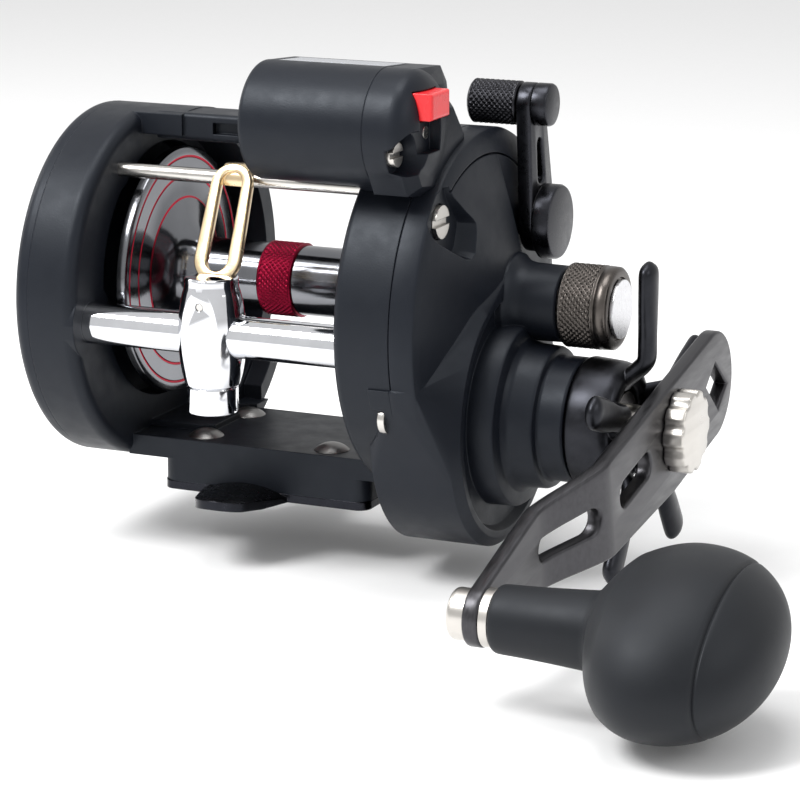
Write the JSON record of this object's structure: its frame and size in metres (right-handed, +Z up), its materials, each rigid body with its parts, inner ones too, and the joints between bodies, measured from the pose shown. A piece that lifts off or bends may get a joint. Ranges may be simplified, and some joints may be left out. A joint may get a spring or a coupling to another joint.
{
  "type": "trolling reel",
  "caption": "Conventional trolling reel: spool between side plates, level-wind line guide, line counter, star drag and crank handle with a soft knob.",
  "frame": {"origin": "on the flat underside of the reel foot, below the middle of the spool", "axes": "+X along the spool axis towards the handle, -Y the side the line leaves from, +Z up out of the foot"},
  "size_m": [0.1731, 0.1377, 0.1006],
  "materials": {
    "body": "moulded matte black",
    "cover": "satin black",
    "foot_metal": "satin black paint",
    "chrome": "polished",
    "steel": "fine brushed",
    "nickel": "brushed",
    "spool_metal": "polished dark anodised",
    "red_metal": "red anodised knurl",
    "gold": "pale gold plating",
    "black_metal": "black anodised",
    "bronze": "dark bronze anodised knurl",
    "silver_disc": "pale brushed",
    "arm_metal": "dark grey anodised",
    "rubber": "matte soft grip",
    "red_plastic": "gloss red",
    "window": "clear lens",
    "wheel_plastic": "white number wheel",
    "gear_brass": "machined",
    "drag_fibre": "carbon fibre washer"
  },
  "bodies": {
    "frame": {"frame": "body", "left_side_cover": "cover", "right_side_cover": "cover", "reel_foot": "foot_metal", "foot_rivets": "foot_metal", "guide_bar": "steel", "level_wind_tube": "chrome", "worm_bushes": "gear_brass", "counter_housing": "body", "counter_end_cap": "body", "counter_window": "window", "counter_screw": "nickel", "counter_shaft": "steel", "left_cover_screws": "nickel", "front_cover_screw": "nickel", "left_spool_bearing": "steel", "right_spool_bearing": "steel", "drive_bush": "gear_brass", "anti_reverse_bearing": "steel", "idler_post": "steel", "yoke_posts": "steel"},
    "handle": {"handle_arm": "arm_metal", "handle_nut": "nickel", "drive_shaft": "steel", "main_gear": "gear_brass", "gear_cup": "steel", "drag_washers": "drag_fibre", "drag_plates": "steel", "drag_pressure_plate": "steel", "star_spring_washers": "steel", "knob_spindle": "nickel", "knob_washer": "nickel"},
    "spool": {"spool": "spool_metal", "arbor_ring": "red_metal", "spool_shaft": "steel", "level_wind_drive_gear": "gear_brass", "clutch_dog": "steel"},
    "level_wind_idler": {"level_wind_idler": "gear_brass"},
    "worm": {"worm_shaft": "steel", "worm_gear": "gear_brass"},
    "carriage": {"carriage": "chrome", "pawl_cap": "chrome", "line_guide": "gold"},
    "level_wind_pawl": {"level_wind_pawl": "steel"},
    "clutch_yoke": {"clutch_yoke": "steel"},
    "pinion": {"pinion": "steel"},
    "star_drag": {"star_drag": "black_metal"},
    "handle_knob": {"handle_knob": "rubber"},
    "clutch_lever": {"clutch_lever": "black_metal", "lever_grip": "black_metal", "lever_grip_screw": "black_metal"},
    "spool_tension_knob": {"spool_tension_knob": "bronze", "spool_tension_disc": "silver_disc"},
    "reset_button": {"reset_button": "red_plastic"},
    "clicker_button": {"clicker_button": "cover"},
    "counter_wheel_ones": {"counter_wheel_ones": "wheel_plastic"},
    "counter_wheel_tens": {"counter_wheel_tens": "wheel_plastic"},
    "counter_wheel_hundreds": {"counter_wheel_hundreds": "wheel_plastic"}
  },
  "joints": [
    {"name": "handle_spin", "type": "hinge", "parent": "frame", "child": "handle", "pos_m": [0.06, -0.005, 0.0206], "axis": [1, 0, 0], "continuous": true},
    {"name": "spool_spin", "type": "hinge", "parent": "frame", "child": "spool", "pos_m": [0, 0, 0.042], "axis": [1, 0, 0], "continuous": true},
    {"name": "idler_spin", "type": "hinge", "parent": "frame", "child": "level_wind_idler", "pos_m": [-0.038, -0.01848, 0.03992], "axis": [1, 0, 0], "continuous": true},
    {"name": "worm_spin", "type": "hinge", "parent": "frame", "child": "worm", "pos_m": [0, -0.031, 0.0368], "axis": [1, 0, 0], "continuous": true},
    {"name": "clutch_throw", "type": "hinge", "parent": "frame", "child": "clutch_lever", "pos_m": [0.047, 0.0135, 0.0553], "axis": [1, 0, 0], "range_deg": [-50, 0]},
    {"name": "yoke_slide", "type": "slide", "parent": "frame", "child": "clutch_yoke", "axis": [1, 0, 0], "range_m": [0, 0.0021]},
    {"name": "pinion_spin", "type": "hinge", "parent": "clutch_yoke", "child": "pinion", "pos_m": [0.042, 0, 0.042], "axis": [1, 0, 0], "continuous": true},
    {"name": "carriage_slide", "type": "slide", "parent": "frame", "child": "carriage", "axis": [1, 0, 0], "range_m": [-0.0155, 0.0185]},
    {"name": "pawl_swivel", "type": "hinge", "parent": "carriage", "child": "level_wind_pawl", "pos_m": [-0.0015, -0.031, 0.025], "axis": [0, 0, 1], "range_deg": [-28, 28]},
    {"name": "star_turn", "type": "hinge", "parent": "handle", "child": "star_drag", "pos_m": [0.07, -0.005, 0.0206], "axis": [1, 0, 0], "range_deg": [-180, 180]},
    {"name": "knob_spin", "type": "hinge", "parent": "handle", "child": "handle_knob", "pos_m": [0.095, -0.08212, 0.00491], "axis": [1, 0, 0], "continuous": true},
    {"name": "spool_tension_turn", "type": "hinge", "parent": "frame", "child": "spool_tension_knob", "pos_m": [0.065, 0, 0.042], "axis": [1, 0, 0], "range_deg": [-180, 180]},
    {"name": "reset_press", "type": "slide", "parent": "frame", "child": "reset_button", "axis": [0, 0, -1], "range_m": [0, 0.005], "stiffness_N_per_m": 150},
    {"name": "clicker_slide", "type": "slide", "parent": "frame", "child": "clicker_button", "axis": [0, 0, 1], "range_m": [0, 0.0044]},
    {"name": "ones_wheel_spin", "type": "hinge", "parent": "frame", "child": "counter_wheel_ones", "pos_m": [0.028, -0.0266, 0.0782], "axis": [1, 0, 0], "continuous": true},
    {"name": "tens_wheel_spin", "type": "hinge", "parent": "frame", "child": "counter_wheel_tens", "pos_m": [0.022, -0.0266, 0.0782], "axis": [1, 0, 0], "continuous": true},
    {"name": "hundreds_wheel_spin", "type": "hinge", "parent": "frame", "child": "counter_wheel_hundreds", "pos_m": [0.016, -0.0266, 0.0782], "axis": [1, 0, 0], "continuous": true}
  ],
  "couplings": [
    {"joint": "spool_spin", "follows": "handle_spin", "ratio": -5.1},
    {"joint": "pinion_spin", "follows": "handle_spin", "ratio": -5.1},
    {"joint": "idler_spin", "follows": "handle_spin", "ratio": 1.4875},
    {"joint": "worm_spin", "follows": "handle_spin", "ratio": -2.066},
    {"joint": "ones_wheel_spin", "follows": "handle_spin", "ratio": 0.242},
    {"joint": "tens_wheel_spin", "follows": "handle_spin", "ratio": 0.0242},
    {"joint": "hundreds_wheel_spin", "follows": "handle_spin", "ratio": 0.00242},
    {"joint": "yoke_slide", "follows": "clutch_throw", "m_per_rad": -0.0022918}
  ]
}
